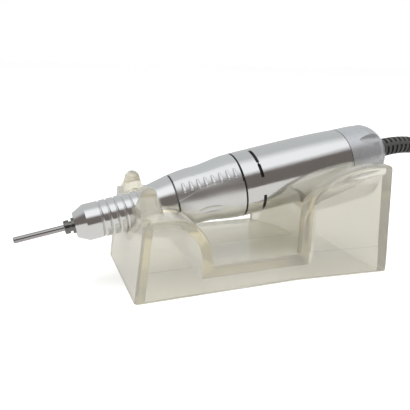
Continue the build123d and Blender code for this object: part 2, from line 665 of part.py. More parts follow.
def make_brush_tubes():
    """Two square brass tubes that guide the brushes."""
    outer = BRUSH_WIDTH + 2 * BRUSH_TUBE_WALL
    box = slab(brush_at - outer / 2, brush_at + outer / 2, COMMUTATOR_D / 2 + 0.8, case_bore_d / 2,
               -outer / 2, outer / 2)
    box -= slab(brush_at - BRUSH_WIDTH / 2, brush_at + BRUSH_WIDTH / 2, 0, case_bore_d / 2 - BRUSH_TUBE_WALL,
                -BRUSH_WIDTH / 2, BRUSH_WIDTH / 2)
    box &= tube(bell_front, bell_rear, case_bore_d)
    return group([box, Rot(180, 0, 0) * box])


def make_brushes():
    """Two carbon brushes, each hollowed to the commutator's curve."""
    size = BRUSH_WIDTH / 2 - 0.05
    block = slab(brush_at - size, brush_at + size, 2.0, COMMUTATOR_D / 2 + 4.6, -size, size)
    block -= tube(brush_at - 3, brush_at + 3, COMMUTATOR_D + 2 * SLIDE_PLAY)
    return group([block, Rot(180, 0, 0) * block])


def make_brush_springs():
    """Two short coil springs behind the brushes."""
    start, end = COMMUTATOR_D / 2 + 4.65, case_bore_d / 2 - BRUSH_TUBE_WALL - 0.05
    wire = 0.3
    turns = 3
    pitch = (end - start - wire) / turns
    path = Helix(pitch, end - start - wire, BRUSH_WIDTH / 2 - 0.35)
    ring = Plane(path @ 0, z_dir=path % 0) * Circle(wire / 2)
    coil = sweep(ring, path=path, is_frenet=True)
    coil = Pos(brush_at, start + wire / 2, 0) * Rot(-90, 0, 0) * coil
    return group([coil, Rot(180, 0, 0) * coil])


def make_terminals():
    """Two brass tabs that pass through the bell's disc."""
    tabs = [slab(bell_disc + 0.5, bell_rear + 3.5, side * 7 - 0.3, side * 7 + 0.3, -1.5, 1.5)
            for side in (-1, 1)]
    return group(tabs)


def make_lead(side):
    """One insulated lead from a terminal to the cord's end."""
    start = bell_rear + 3.5
    path = Spline((start, side * 7, 0), ((start + cord_end) / 2, side * 4.4, 0.9), (cord_end, side * 1.2, 0),
                  tangents=((1, 0, 0), (1, 0, 0)))
    return sweep(Plane(path @ 0, z_dir=path % 0) * Circle(0.65), path=path)


cord_end = cap_rear - 8.0


def make_cord_clamp():
    """The crimped ferrule on the cord's end, and the end itself, inside the cap."""
    return tube(cord_end + 1.0, cord_end + 4.0, CORD_D + 1.6, CORD_D)


def make_relief():
    """The strain relief: a tapered boot with staggered slots, drooping towards its end."""
    start = cap_rear - CAP_LIP - RELIEF_FLANGE
    rest = RELIEF_LENGTH - RELIEF_STRAIGHT
    bend_r = rest / radians(RELIEF_BEND)
    first_r, joint_r, last_r = RELIEF_D / 2, RELIEF_D / 2 - 0.35, RELIEF_END_D / 2
    knee = cap_rear + RELIEF_STRAIGHT
    body = turned((start, 0), (start, relief_flange_d / 2), (cap_rear - CAP_LIP, relief_flange_d / 2),
                  (cap_rear - CAP_LIP, relief_groove_d / 2), (cap_rear, relief_groove_d / 2),
                  (cap_rear, first_r),
                  (knee, joint_r), (knee, 0))
    sections = []
    steps = 4
    for n in range(steps + 1):
        turn = RELIEF_BEND * n / steps
        place = Location((knee + bend_r * sin(radians(turn)), 0, -bend_r * (1 - cos(radians(turn)))),
                         (0, turn, 0))
        sections.append(place * (Plane.YZ * Circle(joint_r + (last_r - joint_r) * n / steps)))
    body += loft(sections)
    for n in range(int((RELIEF_LENGTH - RELIEF_PITCH) / RELIEF_PITCH)):
        along = 0.6 * RELIEF_PITCH + RELIEF_PITCH * n
        turn = max(0.0, degrees((along - RELIEF_STRAIGHT) / bend_r))
        spot = Location((cap_rear + min(along, RELIEF_STRAIGHT) + bend_r * sin(radians(turn)), 0,
                         -bend_r * (1 - cos(radians(turn)))), (0, turn, 0))
        slot = tube(-RELIEF_SLOT / 2, RELIEF_SLOT / 2, RELIEF_D + 4, CORD_D + 0.6)
        for side in (0, 90):
            slot -= facing(28 + side) * slab(-2, 2, -RELIEF_SPINE / 2, RELIEF_SPINE / 2, -20, 20)
        body -= spot * slot
    return body


# ---------------------------------------------------------------- cradle
half_length = CRADLE_LENGTH / 2


def cradle_side(inset, tray_z):
    """The cradle's outline from the side, set inwards by a wall; tray_z is the level of the tray."""
    front, rear = -half_length + inset, half_length - inset
    deck = SHOULDER_HEIGHT - inset
    a1, b1 = SHOULDER_RADII[0] - inset, SHOULDER_RADII[1] - inset
    a2, b2 = REAR_BLOCK_RADII[0] - 1.5 * inset, REAR_BLOCK_RADII[1] - inset
    bottom = -1.0 if inset else 0.0
    peak = REAR_BLOCK_HEIGHT - inset
    shoulder_z = deck - b1
    rear_z = peak - b2
    block = REAR_BLOCK_AT + inset
    edge = Polyline((SHOULDER_AT + a1, tray_z), (SHOULDER_AT + a1, shoulder_z))
    edge += EllipticalCenterArc((SHOULDER_AT, shoulder_z), a1, b1, 0, arc_size=90)
    edge += Polyline((SHOULDER_AT, deck), (front + FRONT_LEAN * deck, deck),
                     (front + FRONT_LEAN * bottom, bottom),
                     (rear - REAR_LEAN * bottom, bottom), (rear - REAR_LEAN * peak, peak),
                     (block + a2, peak))
    edge += EllipticalCenterArc((block + a2, rear_z), a2, b2, 90, arc_size=90)
    edge += Polyline((block, rear_z), (block, tray_z), (SHOULDER_AT + a1, tray_z))
    return extrude(Plane.XZ * make_face(edge), amount=2 * REAR_HALF_WIDTH, both=True)


def cradle_plan(inset, height):
    """The cradle's waisted outline from above, set inwards by a wall."""
    x0, x1 = -half_length + inset, half_length - inset
    w0, w1, w2 = FRONT_HALF_WIDTH - inset, WAIST_HALF_WIDTH - inset, REAR_HALF_WIDTH - inset
    corners = [(x0, -w0), (REAR_BLOCK_AT, -w1), (x1, -w2), (x1, w2), (REAR_BLOCK_AT, w1), (x0, w0)]
    face = make_face(Polyline(*corners, close=True))
    ends = [v for v in face.vertices() if abs(v.X) > REAR_BLOCK_AT + 1]
    face = fillet(ends, CORNER_RADIUS)
    return Pos(0, 0, -2) * extrude(face, amount=height + 2)


def channel(margin):
    """The space round the lying handpiece: its turned form grown by a margin, open upwards."""
    neck = nose_radius(flare_start) + margin
    stations = [(4.0, neck), (flare_start, neck), (flare_start + 3.2, NOSE_REAR_D / 2 - 1.6 + margin),
                (grip_front, NOSE_REAR_D / 2 + margin), (grip_front + 8, GRIP_WAIST_D / 2 + margin + 0.5),
                (grip_front + 13, GRIP_WAIST_D / 2 + margin + 1.0), (grip_rear - 2, CASE_D / 2 + margin),
                (case_rear, CASE_D / 2 + margin)]
    low = turned((stations[0][0], 0), *stations, (stations[-1][0], 0))
    plan = Polyline(*[(s, r) for s, r in stations], *[(s, -r) for s, r in reversed(stations)], close=True)
    return low + extrude(make_face(plan), amount=45)


def saddle(margin):
    """The wide, shallow trough across the rear block, open upwards."""
    flat = Plane.YZ * (Ellipse(SADDLE_HALF_WIDTH + margin, CASE_D / 2 + REST_CLEARANCE + margin)
                       + Pos(0, 30) * Rectangle(2 * (SADDLE_HALF_WIDTH + margin), 60))
    return Pos(grip_rear + 8, 0, 0) * extrude(flat, amount=case_rear + CAP_LENGTH - grip_rear)


def bay(margin, floor):
    """The hollowed front of the rear block: an upright round well, open towards the tray."""
    well = Pos(BAY_CENTRE, 0, floor + 30) * Cylinder(BAY_RADIUS + margin, 60)
    return well & slab(5, 60, -40, 40, floor, 70)


def horn(hand):
    """One rounded prong beside the neck: a lofted cone on a wide foot, with a domed tip."""
    foot_z, foot_y = HORN_FOOT_AT
    tip_z = HORN_HEIGHT - HORN_ROUND
    foot = Pos(HORN_AT[0] - 0.3, hand * foot_y, foot_z) * Ellipse(*HORN_FOOT)
    tip = Pos(HORN_AT[0], hand * HORN_AT[1], tip_z) * Ellipse(*HORN_TIP)
    dome = Pos(HORN_AT[0], hand * HORN_AT[1], tip_z) * scale(Sphere(1), by=(*HORN_TIP, HORN_ROUND))
    return loft([foot, tip]) + dome


def front_half_space():
    """Everything behind the plane of the leaning front face."""
    edge = make_face(Polyline((-half_length, 0), (-half_length + FRONT_LEAN * 60, 60), (half_length, 60),
                              (half_length, 0), close=True))
    return extrude(Plane.XZ * edge, amount=2 * REAR_HALF_WIDTH, both=True)


def rounded_block(block):
    """The cradle's block with its rear top edge and its upper side edges rounded."""
    rear_top = [e for e in block.edges() if abs((e @ 0).Z - REAR_BLOCK_HEIGHT) < 0.01
                and abs((e @ 1).Z - REAR_BLOCK_HEIGHT) < 0.01 and (e @ 0.5).X > half_length - 6
                and (e % 0.5).X ** 2 < 0.5]
    block = fillet(rear_top, REAR_ROUND)
    upper = [e for e in block.edges() if all((e @ t).Z > TRAY_HEIGHT - 0.01
             and abs((e @ t).Y) > WAIST_HALF_WIDTH - 0.3 for t in (0, 0.5, 1))
             and abs((e @ 0).Y - (e @ 1).Y) < 3]
    return fillet(upper, EDGE_ROUND)


def make_cradle():
    """The cradle: a thin-walled moulding open underneath, with horns, tray and rear saddle."""
    laid = handpiece_place
    top = REAR_BLOCK_HEIGHT + 10
    outside = rounded_block(cradle_side(0, TRAY_HEIGHT) & cradle_plan(0, top))
    outside += (horn(-1) + horn(1)) & front_half_space() & cradle_plan(EDGE_ROUND / 2, top)
    outside -= laid * channel(REST_CLEARANCE)
    outside -= laid * saddle(0)
    outside -= bay(0, TRAY_HEIGHT)
    rim = WAIST_HALF_WIDTH - TRAY_RIM
    dip = make_face(Polyline((-rim, TRAY_HEIGHT), (0, TRAY_HEIGHT - TRAY_DIP), (rim, TRAY_HEIGHT),
                             (rim, TRAY_HEIGHT + 2), (-rim, TRAY_HEIGHT + 2), close=True))
    dip = Pos(SHOULDER_AT + SHOULDER_RADII[0], 0, 0) * extrude(Plane.YZ * dip, amount=60)
    reach = bay(0, 0) + slab(SHOULDER_AT + SHOULDER_RADII[0], 6, -30, 30, 0, 40)
    outside -= dip & reach
    inside = cradle_side(CRADLE_WALL, TRAY_HEIGHT - TRAY_THICK) & cradle_plan(SIDE_WALL, top)
    inside -= laid * channel(REST_CLEARANCE + CRADLE_WALL)
    inside -= laid * saddle(CRADLE_WALL)
    inside -= bay(CRADLE_WALL, TRAY_HEIGHT - TRAY_THICK)
    skirt = cradle_side(CRADLE_WALL, TRAY_HEIGHT - TRAY_THICK) & cradle_plan(SKIRT_WALL, SKIRT_HEIGHT)
    skirt -= bay(CRADLE_WALL, TRAY_HEIGHT - TRAY_THICK)
    return outside - inside - skirt


# ---------------------------------------------------------------- cord, coil and plug
COIL_RADIUS = 30.0          # to the middle of the turns, which lie in two layers
COIL_WIDTH = 20.0
COIL_HEIGHT = 9.4
STUB_LENGTH = 12.0          # of the arriving cord, from the tube's end to the turns
LEAVING_LENGTH = 26.0       # of the leaving cord, from the turns to the plug's boot
FIRST_RUN = 14.0            # straight out of the strain relief
PLUG_GRIP_D = 9.5
PLUG_GRIP_L = 19.0
PLUG_BOOT_D = 7.6
PLUG_BOOT_L = 20.0
PLUG_PIN_D = 3.5
PLUG_SLEEVE_L = 8.6
PLUG_RING_L = 0.8
PLUG_TIP_L = 4.6
CORD_POINTS = [(127.64, 3.5, 26.49), (135.84, 12.59, 19.74), (147.28, 16.46, 12.68)]


def cord_points():
    """The free cord's route: out of the relief, down, and round to the coil on the table."""
    start, heading = relief_end()
    return [start, start + heading * FIRST_RUN] + [Vector(*point) for point in CORD_POINTS]


def cord_path():
    """The route as straight runs joined by arcs; prints the arcs' radii."""
    points = cord_points()
    runs = [b - a for a, b in zip(points, points[1:])]
    radii = []
    for run, following in zip(runs, runs[1:]):
        turn = radians(run.get_angle(following))
        radii.append(0.45 * min(run.length, following.length) / tan(turn / 2))
    print("cord arc radii", [round(r, 1) for r in radii])
    return FilletPolyline(*points, radius=radii)


def make_cord_tube():
    """The cord from the strain relief to the coil."""
    path = cord_path()
    tube_solid = sweep(Plane(path @ 0, z_dir=path % 0) * Circle(CORD_D / 2), path=path)
    ideal = pi * (CORD_D / 2) ** 2 * path.length
    print("cord tube volume", round(tube_solid.volume, 1), "section times length", round(ideal, 1))
    return tube_solid


def coil_centre():
    """The coil lies where the incoming cord meets its outer turn as a tangent."""
    points = cord_points()
    last = (points[-1] - points[-2]).normalized()
    entry = points[-1] + last * STUB_LENGTH
    side = Vector(last.Y, -last.X, 0).normalized()
    return entry + side * (COIL_RADIUS + CORD_D), entry, last


def make_coil():
    """The coiled rest of the cord as one closed form, with the cord's two straight ends."""
    centre, entry, last = coil_centre()
    section = Pos(COIL_RADIUS, COIL_HEIGHT / 2) * RectangleRounded(COIL_WIDTH, COIL_HEIGHT, 2.4)
    ring = revolve(Plane.XZ * section, Axis.Z, 360)
    ring = Pos(centre.X, centre.Y, 0) * ring
    arriving = extrude(Plane(cord_points()[-1], z_dir=last) * Circle(CORD_D / 2), amount=STUB_LENGTH)
    leaving = Plane((centre.X, centre.Y - COIL_RADIUS - 1.5 * CORD_D, PLUG_GRIP_D / 2), z_dir=(-1, 0, 0))
    leaving = extrude(leaving * Circle(CORD_D / 2), amount=LEAVING_LENGTH)
    return ring + arriving + leaving


def plug_place():
    """The plug lies on the table beside the coil, pointing to the drill end."""
    centre = coil_centre()[0]
    return Location((centre.X - LEAVING_LENGTH, centre.Y - COIL_RADIUS - 1.5 * CORD_D, PLUG_GRIP_D / 2),
                    (0, 0, 180))


def make_plug():
    """The straight round plug: flexible boot, grip, sleeve contact, insulating ring and tip."""
    grip_at = PLUG_BOOT_L
    pin_at = grip_at + PLUG_GRIP_L
    ring_at = pin_at + PLUG_SLEEVE_L
    tip_at = ring_at + PLUG_RING_L
    tip_end = tip_at + PLUG_TIP_L
    pin_r = PLUG_PIN_D / 2
    boot = turned((0, 0), (0, CORD_D / 2 + 0.3), (grip_at, PLUG_BOOT_D / 2), (grip_at, 0))
    for n in range(5):
        boot -= tube(2.5 + 3.2 * n, 3.7 + 3.2 * n, 20, CORD_D + 0.2)
    grip = turned((grip_at, 0), (grip_at, PLUG_GRIP_D / 2 - 0.8), (grip_at + 0.8, PLUG_GRIP_D / 2),
                  (pin_at - 1.2, PLUG_GRIP_D / 2), (pin_at, PLUG_GRIP_D / 2 - 1.2), (pin_at, 0))
    for n in range(3):
        grip -= tube(grip_at + 9 + 2.4 * n, grip_at + 10 + 2.4 * n, 20, PLUG_GRIP_D - 0.8)
    sleeve = tube(pin_at, ring_at, PLUG_PIN_D)
    ring = tube(ring_at, tip_at, PLUG_PIN_D)
    tip = turned((tip_at, 0), (tip_at, pin_r), (tip_at + 0.6, pin_r), (tip_at + 1.4, pin_r - 0.55),
                 (tip_at + 2.2, pin_r), (tip_end - 0.3, 0.5), (tip_end, 0))
    return {"plug_boot": boot, "plug_grip": grip, "plug_sleeve": sleeve, "plug_ring": ring, "plug_tip": tip}


# ---------------------------------------------------------------- write every sub-part
spindle_rings = bearing_set((*SMALL_BEARING_AT, rear_bearing_at), SMALL_BEARING)
motor_rings = bearing_set((flange_rear, bell_disc), MOTOR_BEARING)

write("cradle", make_cradle(), lying=False)
write("nose_cone", make_nose())
write("front_seal", tube(seal_1 + 0.02, seal_1 + SEAL_WIDTH, NOSE_REAR_D - 0.5, BARREL_D))
write("twist_grip", make_grip())
write("cam_sleeve", make_cam_sleeve())
write("rear_seal", tube(seal_2, case_front - 0.02, grip_rear_d - 0.6, BARREL_D))
write("motor_case", make_case())
write("vent_liner", tube(flange_rear, yoke_front, case_bore_d, case_bore_d - 2 * LINER_WALL))
write("end_cap", make_cap())
write("strain_relief", make_relief())
write("inner_barrel", make_barrel())
write("release_sleeve", make_release_sleeve())
write("cam_pins", make_cam_pins())
write("spindle_bearing_outer_rings", group(spindle_rings[0]))
write("spindle_bearing_inner_rings", group(spindle_rings[1]))
write("spindle_bearing_balls", group(spindle_rings[2]))
write("bearing_spacer", tube(SMALL_BEARING_AT[0] + SMALL_BEARING[2], SMALL_BEARING_AT[1],
                             SMALL_BEARING[1], SPACER_BORE))
write("bearing_nut", tube(nut_rear - BEARING_NUT_L, nut_rear, SMALL_BEARING[1], SPACER_BORE))
write("spindle", make_spindle())
write("collet", make_collet())
write("drawbar", make_drawbar())
write("disc_springs", make_disc_springs())
write("spindle_dog", make_dog(dog_front, dog_face, dog_face, dog_face + LUG_LENGTH, 0, 0))
write("motor_dog", make_dog(motor_dog_front, motor_dog_rear, motor_dog_front - LUG_LENGTH,
                            motor_dog_front, SHAFT_D, 90))
write("motor_shaft", tube(motor_dog_front, bell_rear + 0.8, SHAFT_D))
write("motor_front_plate", make_front_plate())
write("plate_screws", make_plate_screws())
write("motor_bearing_outer_rings", group(motor_rings[0]))
write("motor_bearing_inner_rings", group(motor_rings[1]))
write("motor_bearing_balls", group(motor_rings[2]))
write("yoke_tube", tube(yoke_front, yoke_rear, case_bore_d, magnet_d))
write("magnets", make_magnets())
write("armature_core", make_armature())
write("windings", make_windings())
write("commutator", make_commutator())
write("brush_bell", make_bell())
write("brush_tubes", make_brush_tubes())
write("carbon_brushes", make_brushes())
write("brush_springs", make_brush_springs())
write("terminals", make_terminals())
write("lead_red", make_lead(1))
write("lead_black", make_lead(-1))
write("cord_clamp", make_cord_clamp())
write("cord_core", tube(cord_end, cap_rear - CAP_LIP - RELIEF_FLANGE, CORD_D))
write("shank", turned((-SHANK_SHOWS, 0), (-SHANK_SHOWS, SHANK_D / 2 - 0.25),
                      (-SHANK_SHOWS + 0.25, SHANK_D / 2),
                      (shank_rear, SHANK_D / 2), (shank_rear, 0)))
write("cord_tube", make_cord_tube(), lying=False)
write("cord_coil", make_coil(), lying=False)
for name, piece in make_plug().items():
    write(name, plug_place() * piece, lying=False)
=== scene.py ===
# %% [markdown]
# # A nail drill handpiece in its frosted cradle
#
# This script dresses a finished CAD model. The CAD file already holds every piece at its real
# size, so nothing is moved or resized here: each piece gets the finish of the real one, and the
# soft pieces, here the cord, get the shape that a drawing can't give them.

# %% Load the frame
from math import cos, sin, pi, radians

import bpy
import numpy as np
from mathutils import Matrix, Vector


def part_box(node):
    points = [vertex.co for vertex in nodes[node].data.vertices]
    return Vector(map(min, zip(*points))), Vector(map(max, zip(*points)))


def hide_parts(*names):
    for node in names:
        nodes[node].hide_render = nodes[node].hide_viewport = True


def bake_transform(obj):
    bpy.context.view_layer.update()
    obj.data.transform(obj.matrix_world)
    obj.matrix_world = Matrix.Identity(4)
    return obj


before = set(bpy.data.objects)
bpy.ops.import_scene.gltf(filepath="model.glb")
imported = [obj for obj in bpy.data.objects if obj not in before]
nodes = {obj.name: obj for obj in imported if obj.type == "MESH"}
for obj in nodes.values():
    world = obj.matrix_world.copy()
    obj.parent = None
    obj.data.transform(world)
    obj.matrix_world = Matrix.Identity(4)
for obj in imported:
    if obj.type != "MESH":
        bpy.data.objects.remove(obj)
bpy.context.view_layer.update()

MM = 0.001
cradle_low, cradle_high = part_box("cradle")
cradle_middle = Vector(((cradle_low.x + cradle_high.x) / 2, 0, 0))
print("cradle length in mm", round((cradle_high.x - cradle_low.x) / MM, 1))


def from_cradle(x, y, z):
    """A point given in millimetres from the middle of the cradle's base, in the row's metres."""
    return cradle_middle + Vector((x, y, z)) * MM


# %% [markdown]
# ## The camera
#
# A camera is a place, a direction and a lens.  Its object looks along its own -Z with +Y up, so
# its matrix is three unit vectors side by side: right, up and backwards.  We work the view
# direction out from a turn about the vertical and a tilt down, and then roll the picture a little.

# %% Camera
VIEW_TURN = radians(20.68)
VIEW_TILT = radians(17.09)
VIEW_ROLL = radians(1.36)
LENS_MM = 43.9
SENSOR_MM = 36.0
CAMERA_PLACE = (-87.7, -183.2, 87.2)    # mm from the middle of the cradle's base
NEAREST_SEEN = 0.01                     # m; nothing nearer than this is drawn

forward = Vector((sin(VIEW_TURN) * cos(VIEW_TILT), cos(VIEW_TURN) * cos(VIEW_TILT),
                  -sin(VIEW_TILT)))
level = Vector((cos(VIEW_TURN), -sin(VIEW_TURN), 0))
upward = level.cross(forward)
right = level * cos(VIEW_ROLL) + upward * sin(VIEW_ROLL)
top = upward * cos(VIEW_ROLL) - level * sin(VIEW_ROLL)

camera_data = bpy.data.cameras.new("camera")
camera_data.lens = LENS_MM
camera_data.sensor_width = SENSOR_MM
camera_data.clip_start = NEAREST_SEEN
camera = bpy.data.objects.new("camera", camera_data)
bpy.context.scene.collection.objects.link(camera)
facing = Matrix((right, top, -forward)).transposed().to_4x4()
camera.matrix_world = Matrix.Translation(from_cradle(*CAMERA_PLACE)) @ facing
bpy.context.scene.camera = camera
print("camera looks along", [round(part, 3) for part in forward])


# %% [markdown]
# ## A surface from a grid
#
# The cord's jacket is a function of two parameters: how far along the line, and how far round it.
# Numpy works out the whole grid of points at once.  The grid closes on itself, so its last column
# joins its first.

# %% Grid helpers
def closed_skin(name, points):
    """A closed mesh from points[row, column].

    With C columns, point (r, c) has the number r * C + c.  A quad joins (r, c), (r, c + 1),
    (r + 1, c + 1) and (r + 1, c), where c + 1 wraps round, and one flat face closes each end.
    """
    rows, columns, _ = points.shape
    row = np.arange(rows - 1)[:, None]
    column = np.arange(columns)[None, :]
    following = (column + 1) % columns
    quads = np.stack([row * columns + column, row * columns + following,
                      (row + 1) * columns + following, (row + 1) * columns + column], axis=-1)
    last_row = (rows - 1) * columns
    faces = [tuple(quad) for quad in quads.reshape(-1, 4).tolist()]
    faces += [tuple(range(columns - 1, -1, -1)), tuple(range(last_row, last_row + columns))]
    mesh = bpy.data.meshes.new(name)
    mesh.from_pydata(points.reshape(-1, 3).tolist(), [], faces)
    mesh.polygons.foreach_set("use_smooth", [True] * len(mesh.polygons))
    mesh.update()
    piece = bpy.data.objects.new(name, mesh)
    bpy.context.scene.collection.objects.link(piece)
    return piece


def sides_along(line):
    """Two unit vectors square to a line that is nowhere upright: a level one and an upper one."""
    tangent = np.gradient(line, axis=0)
    tangent /= np.linalg.norm(tangent, axis=1)[:, None]
    level_side = np.cross(tangent, (0, 0, 1))
    level_side /= np.linalg.norm(level_side, axis=1)[:, None]
    return level_side, np.cross(level_side, tangent)


def tube_along(name, line, radius, around):
    """A tube: point + radius * (upper * cos(angle) + level * sin(angle)), for every point of a line."""
    level_side, upper_side = sides_along(line)
    angle = np.linspace(0, 2 * pi, around, endpoint=False)[None, :, None]
    ring = upper_side[:, None, :] * np.cos(angle) + level_side[:, None, :] * np.sin(angle)
    return closed_skin(name, line[:, None, :] + radius * ring)


# %% [markdown]
# ## The cord
#
# The cord is a limp, jacketed lead.  Its line is one NURBS curve: a few points steer it from the
# strain relief down to the table, and a loop of points winds the spare length into a coil two
# layers high.  The upper layer winds inwards and the lower one outwards, so that both ends lie on
# the outside, as they do when a lead is put away by hand.  We then read that line back as closely
# spaced points, and carry a circle along it to make the jacket's surface.

# %% Cord sizes, in mm from the middle of the cradle's base
CORD_D = 5.0
ROUND_THE_CORD = 16                     # points round the jacket

# From the strain relief to the coil
RELIEF_END = (104.4098, 0.0, 41.1269)
RELIEF_FALL = radians(28.3)             # how steeply the strain relief's end points down
FREE_POINTS = [(127.64, 3.5, 26.49), (135.84, 12.59, 19.74), (147.28, 16.46, 12.68)]
FIRST_RUN = 14.0                        # straight run out of the strain relief
STUB_LENGTH = 12.0                      # straight run into the coil

# The coil: a radius for each turn, to the middle of the cord
UPPER_TURNS = [35.0, 30.0, 25.0]
LOWER_TURNS = [22.5, 27.5, 32.5]
LEAVING_RADIUS = 37.5
UPPER_HEIGHT = 6.83
CROSSING_RISE = 0.67
POINTS_PER_TURN = 16
STEP_ASIDE = (0.72, 0.92)               # part of a turn in which the radius changes
STEP_DOWN = (0.8, 1.0)                  # part of a turn in which the height changes

# From the coil to the plug: shares of the length, with the height at each
LEAVING_LENGTH = 26.0
PLUG_AXIS_HEIGHT = 4.75
LEAVING_STEPS = ((0.35, 2.9), (0.7, 4.5), (1.0, PLUG_AXIS_HEIGHT))

# %% Cord route
first = Vector(RELIEF_END)
relief_heading = Vector((cos(RELIEF_FALL), 0, -sin(RELIEF_FALL)))
route = [first, first + relief_heading * FIRST_RUN] + [Vector(p) for p in FREE_POINTS]
heading = (route[-1] - route[-2]).normalized()
entry = route[-1] + heading * STUB_LENGTH
inward = Vector((heading.y, -heading.x, 0)).normalized()
coil_centre = entry + inward * UPPER_TURNS[0]
print("coil centre from the cradle in mm", [round(c, 2) for c in coil_centre])


def ease(progress, begin, end):
    """0 before begin, 1 after end, and a smooth S between them: t squared times (3 - 2t)."""
    t = np.clip((progress - begin) / (end - begin), 0, 1)
    return t * t * (3 - 2 * t)


def coil_points():
    """The coil's control points: centre + (radius * cos(angle), radius * sin(angle), height).

    The angle falls steadily.  Near the end of each turn the radius steps by one diameter, and
    between the layers the height drops.  A strand that steps over the ones below rises a little.
    A smooth curve runs inside its control points by the cosine of half the angle between two of
    them, so the radii are divided by that.
    """
    radii = np.array(UPPER_TURNS + LOWER_TURNS + [LEAVING_RADIUS]) / cos(pi / POINTS_PER_TURN)
    upper, lower = len(UPPER_TURNS), len(LOWER_TURNS) + 1
    heights = np.array([UPPER_HEIGHT] * upper + [CORD_D / 2] * lower)
    begin = np.arctan2(entry.y - coil_centre.y, entry.x - coil_centre.x)
    whole_turns = len(radii) - 1
    last_part = (begin + pi / 2) / (2 * pi)
    count = round((whole_turns + last_part) * POINTS_PER_TURN)
    progress = np.linspace(0, whole_turns + last_part, count + 1)
    turn = np.minimum(progress.astype(int), whole_turns)
    following = np.minimum(turn + 1, whole_turns)
    aside = ease(progress - turn, *STEP_ASIDE)
    radius = radii[turn] + (radii[following] - radii[turn]) * aside
    drop = ease(progress - turn, *STEP_DOWN)
    height = heights[turn] + (heights[following] - heights[turn]) * drop
    crossing = CROSSING_RISE * np.sqrt(np.sin(pi * aside).clip(0))
    height += np.where(turn < upper - 1, crossing, 0)
    angle = begin - 2 * pi * progress
    return np.stack([coil_centre.x + radius * np.cos(angle),
                     coil_centre.y + radius * np.sin(angle), height], axis=1)


leaving_y = coil_centre.y - LEAVING_RADIUS
ending = [Vector((coil_centre.x - share * LEAVING_LENGTH, leaving_y, height))
          for share, height in LEAVING_STEPS]
controls = route + [Vector(p) for p in coil_points().tolist()] + ending

# %% Cord line
curve = bpy.data.curves.new("cord_line", "CURVE")
curve.dimensions = "3D"
curve.resolution_u = 8
spline = curve.splines.new("NURBS")
spline.points.add(len(controls) - 1)
weighted = np.array([[*from_cradle(*p), 1.0] for p in controls])
spline.points.foreach_set("co", weighted.ravel())
spline.order_u = 3
spline.use_endpoint_u = True
line_object = bpy.data.objects.new("cord_line", curve)
bpy.context.scene.collection.objects.link(line_object)
line_mesh = bpy.data.meshes.new_from_object(line_object)
cord_line = np.zeros(len(line_mesh.vertices) * 3)
line_mesh.vertices.foreach_get("co", cord_line)
cord_line = cord_line.reshape(-1, 3)
bpy.data.objects.remove(line_object)

# %% [markdown]
# The jacket is a circle of the cord's diameter carried along the line, and the drawing's own
# cord pieces are hidden.

# %% Cord jacket
cord = tube_along("cord", cord_line, CORD_D / 2 * MM, ROUND_THE_CORD)
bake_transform(cord)
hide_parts("cord_tube", "cord_coil")
print("jacket points", len(cord.data.vertices), "faces", len(cord.data.polygons))


# %% [markdown]
# ## Materials
#
# A material is a small network of nodes.  Three helpers keep the cells short: one turns a screen
# colour into the linear light that the renderer works with, one starts a material, and one adds a
# node with its settings and its links.

# %% Material helpers
# The Mix node has a set of sockets for each kind of data; these are the numbers of its colour set.
MIX_SHARE, MIX_FIRST, MIX_SECOND, MIX_RESULT = 0, 6, 7, 2


def linear(colour):
    """An sRGB hex colour such as '#c0ffee' as linear red, green, blue and an alpha of 1.

    Each value v between 0 and 1 becomes ((v + 0.055) / 1.055) ** 2.4, or v / 12.92 where it is
    no more than 0.04045.
    """
    values = np.array([int(colour[n:n + 2], 16) for n in (1, 3, 5)]) / 255
    values = np.where(values <= 0.04045, values / 12.92, ((values + 0.055) / 1.055) ** 2.4)
    return (*values.tolist(), 1.0)


def add_node(tree, kind, inputs=None, **settings):
    """Adds a node to a tree.  An input that is another node's output is linked, others are set."""
    node = tree.nodes.new(kind)
    for name, value in settings.items():
        setattr(node, name, value)
    for name, value in (inputs or {}).items():
        if isinstance(value, bpy.types.NodeSocket):
            tree.links.new(value, node.inputs[name])
        else:
            node.inputs[name].default_value = value
    return node


def start_material(name, inputs):
    """A new material with its shader; gives the material, its node tree, shader and coordinates."""
    material = bpy.data.materials.new(name)
    material.use_nodes = True
    tree = material.node_tree
    shader = tree.nodes["Principled BSDF"]
    for key, value in inputs.items():
        shader.inputs[key].default_value = value
    place = add_node(tree, "ShaderNodeTexCoord")
    return material, tree, shader, place.outputs["Object"]


# %% [markdown]
# ## Turned aluminium
#
# The nose, grip and motor case are turned from aluminium bar and left with a fine satin finish.
# The lathe's tool leaves lines that run round the axis.  The Mapping node lays X along the
# handpiece and stretches the other two axes, so that a noise changes quickly along the piece and
# hardly at all round it.  Real tool lines are a tenth of a millimetre apart; they are drawn
# coarser, or they wouldn't show.  To the eye this gives long soft bands of light and dark along
# the body: sharp on the nose and the case, and blurred on the grip, which is blasted a little
# rougher.  A noise seldom leaves the middle of its range, so the two cloud values below are taken
# as its low and its high.

# %% Aluminium
REST_TILT = radians(9.7)                # how steeply the handpiece lies in the cradle
TOOL_LINES_PER_MM = 0.9
ROUND_STRETCH = 60.0
METAL_CLOUDS_PER_MM = 0.08
METAL_GLOSS_SWING = 0.03
CLOUD_LOW, CLOUD_HIGH = 0.3, 0.7


